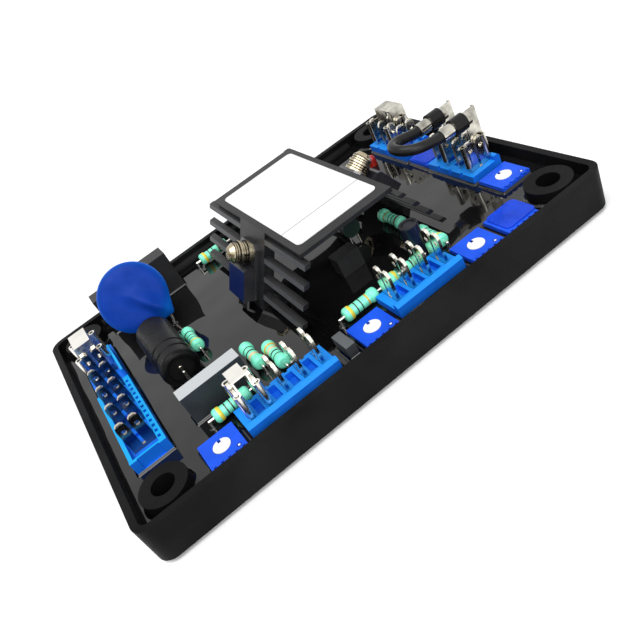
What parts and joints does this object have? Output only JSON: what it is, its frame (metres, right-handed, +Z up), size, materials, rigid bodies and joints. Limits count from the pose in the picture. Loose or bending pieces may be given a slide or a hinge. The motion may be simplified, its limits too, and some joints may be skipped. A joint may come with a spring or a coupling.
{
  "type": "automatic voltage regulator",
  "caption": "Potted generator voltage regulator: shallow tray of resin with blade terminals, trimmers, an arched heat sink with clamped power devices, capacitors and a jumper lead.",
  "frame": {"origin": "middle of the tray's underside", "axes": "+X along the tray's long side, +Y to the back, +Z up out of the resin"},
  "size_m": [0.135, 0.0974, 0.0294],
  "materials": {
    "tray_plastic": "satin moulded plastic",
    "resin": "mirror-glossy potting resin",
    "board_laminate": "matt laminate",
    "anodised_aluminium": "black anodised, bare sawn ends",
    "label_film": "smooth film",
    "device_epoxy": "moulded epoxy",
    "plated_steel": "plated",
    "block_plastic": "semi-gloss moulded plastic",
    "tinned_metal": "tinned",
    "wire_insulation": "smooth insulation",
    "sleeve_plastic": "satin",
    "trimmer_plastic": "moulded plastic",
    "rotor_plastic": "smooth",
    "lacquer": "glossy lacquer",
    "varistor_coating": "smooth epoxy coating",
    "capacitor_case": "fine-grained case",
    "grey_case": "satin case",
    "capacitor_sleeve": "shrunk sleeve",
    "green_coating": "dipped coating",
    "lamp_plastic": "tinted clear plastic",
    "resistor_coating": "painted ceramic"
  },
  "bodies": {
    "regulator": {"tray": "tray_plastic", "potting_resin": "resin", "circuit_board": "board_laminate", "heat_sink": "anodised_aluminium", "heat_sink_label": "label_film", "left_power_device": "device_epoxy", "right_power_device": "device_epoxy", "device_screws": "plated_steel", "spring_washers": "plated_steel", "flat_washers": "plated_steel", "device_nuts": "plated_steel", "left_terminal_block": "block_plastic", "left_terminal_tabs": "tinned_metal", "front_left_terminal_block": "block_plastic", "front_left_terminal_tabs": "tinned_metal", "front_right_terminal_block": "block_plastic", "front_right_terminal_tabs": "tinned_metal", "right_terminal_block": "block_plastic", "right_terminal_tabs": "tinned_metal", "rear_terminal_block": "block_plastic", "rear_terminal_tabs": "tinned_metal", "left_link": "tinned_metal", "front_link": "tinned_metal", "rear_link": "tinned_metal", "jumper_wire": "wire_insulation", "jumper_receptacles": "tinned_metal", "jumper_sleeves": "sleeve_plastic", "volt_trimmer": "trimmer_plastic", "stability_trimmer": "trimmer_plastic", "droop_trimmer": "trimmer_plastic", "trim_trimmer": "trimmer_plastic", "sealed_front_trimmer": "trimmer_plastic", "sealed_rear_trimmer": "trimmer_plastic", "trimmer_seals": "lacquer", "varistor": "varistor_coating", "tall_film_capacitor": "capacitor_case", "low_film_capacitor": "grey_case", "small_box_capacitor": "grey_case", "axial_capacitor": "capacitor_sleeve", "electrolytic_capacitor": "capacitor_sleeve", "disc_capacitor": "green_coating", "rectifier": "device_epoxy", "indicator_lamp": "lamp_plastic", "left_resistor": "resistor_coating", "middle_resistor_a": "resistor_coating", "middle_resistor_b": "resistor_coating", "front_resistor_a": "resistor_coating", "front_resistor_b": "resistor_coating", "front_resistor_c": "resistor_coating", "right_resistor_a": "resistor_coating", "right_resistor_b": "resistor_coating", "rear_resistor": "resistor_coating"},
    "volt_dial": {"volt_rotor": "rotor_plastic"},
    "stability_dial": {"stability_rotor": "rotor_plastic"},
    "droop_dial": {"droop_rotor": "rotor_plastic"},
    "trim_dial": {"trim_rotor": "rotor_plastic"}
  },
  "joints": [
    {"name": "volt_turn", "type": "hinge", "parent": "regulator", "child": "volt_dial", "pos_m": [-0.0429, -0.03985, 0.0101], "axis": [0, 0, 1], "range_deg": [-140, 140]},
    {"name": "stability_turn", "type": "hinge", "parent": "regulator", "child": "stability_dial", "pos_m": [0.0003, -0.03985, 0.0101], "axis": [0, 0, 1], "range_deg": [-140, 140]},
    {"name": "droop_turn", "type": "hinge", "parent": "regulator", "child": "droop_dial", "pos_m": [0.033, -0.03985, 0.0101], "axis": [0, 0, 1], "range_deg": [-140, 140]},
    {"name": "trim_turn", "type": "hinge", "parent": "regulator", "child": "trim_dial", "pos_m": [0.0568, -0.0244, 0.0101], "axis": [0, 0, 1], "range_deg": [-140, 140]}
  ]
}
